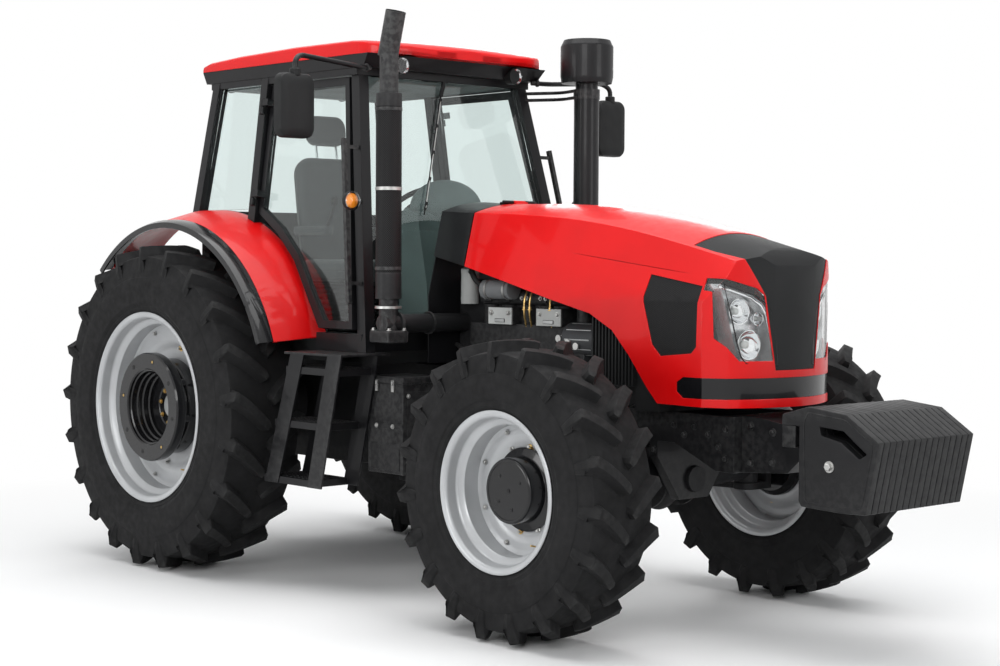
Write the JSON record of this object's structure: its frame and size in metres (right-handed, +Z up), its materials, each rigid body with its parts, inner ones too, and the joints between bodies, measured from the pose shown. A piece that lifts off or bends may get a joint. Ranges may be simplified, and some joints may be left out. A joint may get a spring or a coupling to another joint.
{
  "type": "farm tractor",
  "caption": "Farm tractor with enclosed cab, large lugged tyres, opening hood and doors, steered front wheels, rear hitch arms and hanging front weights.",
  "frame": {"origin": "centre of the bounding box's footprint, on the ground under the tyres", "axes": "+X forward, +Y to the driver's left, +Z up"},
  "size_m": [5.094, 2.38, 2.8771],
  "materials": {
    "red_paint": "gloss",
    "black_gloss": "gloss",
    "black_satin": "satin",
    "black_plastic": "satin",
    "dark_iron": "satin",
    "silver_paint": "satin",
    "tyre_rubber": "matte",
    "cab_glass": "gloss",
    "lamp_clear": "gloss",
    "lamp_amber": "gloss",
    "seat_cloth": "matte",
    "dash_plastic": "satin"
  },
  "bodies": {
    "chassis": {"frame": "dark_iron", "weight_carrier": "black_satin", "front_weights": "dark_iron", "engine": "dark_iron", "radiator": "black_satin", "transmission": "dark_iron", "front_axle": "dark_iron", "drive_shaft": "black_satin", "cab_body": "black_satin", "cab_frame": "black_satin", "cab_roof": "red_paint", "cab_glass": "cab_glass", "seat": "seat_cloth", "dashboard": "dash_plastic", "cowl": "black_gloss", "fenders": "red_paint", "fender_edges": "black_gloss", "exhaust_stack": "black_satin", "intake_stack": "black_plastic", "mirrors": "black_plastic", "work_lamps": "lamp_clear", "turn_lamps": "lamp_amber", "steps": "black_satin", "battery_box": "black_satin", "fuel_tank": "black_plastic", "hitch": "black_satin", "wiper": "black_plastic", "grab_rails": "black_satin"},
    "hood": {"hood_shell": "red_paint", "nose_panel": "black_gloss", "headlamps": "lamp_clear", "side_grilles": "black_plastic", "bumper_insert": "black_plastic"},
    "steering_wheel": {"steering_wheel": "black_plastic"},
    "lower_links": {"lower_links": "black_satin"},
    "door_left": {"door_frame_left": "black_satin", "door_glass_left": "cab_glass"},
    "knuckle_left": {"knuckle_left": "dark_iron"},
    "front_wheel_left": {"front_tyre_left": "tyre_rubber", "front_rim_left": "silver_paint", "front_hub_left": "black_gloss"},
    "rear_wheel_left": {"rear_tyre_left": "tyre_rubber", "rear_rim_left": "silver_paint", "rear_hub_left": "black_gloss"},
    "door_right": {"door_frame_right": "black_satin", "door_glass_right": "cab_glass"},
    "knuckle_right": {"knuckle_right": "dark_iron"},
    "front_wheel_right": {"front_tyre_right": "tyre_rubber", "front_rim_right": "silver_paint", "front_hub_right": "black_gloss"},
    "rear_wheel_right": {"rear_tyre_right": "tyre_rubber", "rear_rim_right": "silver_paint", "rear_hub_right": "black_gloss"}
  },
  "joints": [
    {"name": "hood_open", "type": "hinge", "parent": "chassis", "child": "hood", "pos_m": [0.095, 0, 1.95], "axis": [0, -1, 0], "range_deg": [0, 45]},
    {"name": "steering_wheel_turn", "type": "hinge", "parent": "chassis", "child": "steering_wheel", "pos_m": [-0.717, 0, 1.9], "axis": [-0.6783, 0, 0.7348], "continuous": true},
    {"name": "lower_links_lift", "type": "hinge", "parent": "chassis", "child": "lower_links", "pos_m": [-1.857, 0, 0.61], "axis": [0, 1, 0], "range_deg": [-8, 25]},
    {"name": "door_left_open", "type": "hinge", "parent": "chassis", "child": "door_left", "pos_m": [-1.227, 0.672, 2.2], "axis": [-0.0145, -0.144, 0.9895], "range_deg": [0, 65]},
    {"name": "steer_left", "type": "hinge", "parent": "chassis", "child": "knuckle_left", "pos_m": [1.073, 0.62, 0.66], "axis": [0, 0, 1], "range_deg": [-30, 30]},
    {"name": "front_wheel_left_spin", "type": "hinge", "parent": "knuckle_left", "child": "front_wheel_left", "pos_m": [1.073, 0.879, 0.66], "axis": [0, 1, 0], "continuous": true},
    {"name": "rear_wheel_left_spin", "type": "hinge", "parent": "chassis", "child": "rear_wheel_left", "pos_m": [-1.617, 0.907, 0.865], "axis": [0, 1, 0], "continuous": true},
    {"name": "door_right_open", "type": "hinge", "parent": "chassis", "child": "door_right", "pos_m": [-1.227, -0.672, 2.2], "axis": [0.0145, -0.144, -0.9895], "range_deg": [0, 65]},
    {"name": "steer_right", "type": "hinge", "parent": "chassis", "child": "knuckle_right", "pos_m": [1.073, -0.62, 0.66], "axis": [0, 0, 1], "range_deg": [-30, 30]},
    {"name": "front_wheel_right_spin", "type": "hinge", "parent": "knuckle_right", "child": "front_wheel_right", "pos_m": [1.073, -0.879, 0.66], "axis": [0, 1, 0], "continuous": true},
    {"name": "rear_wheel_right_spin", "type": "hinge", "parent": "chassis", "child": "rear_wheel_right", "pos_m": [-1.617, -0.907, 0.865], "axis": [0, 1, 0], "continuous": true}
  ],
  "couplings": [
    {"joint": "steer_right", "follows": "steer_left", "ratio": 1}
  ]
}
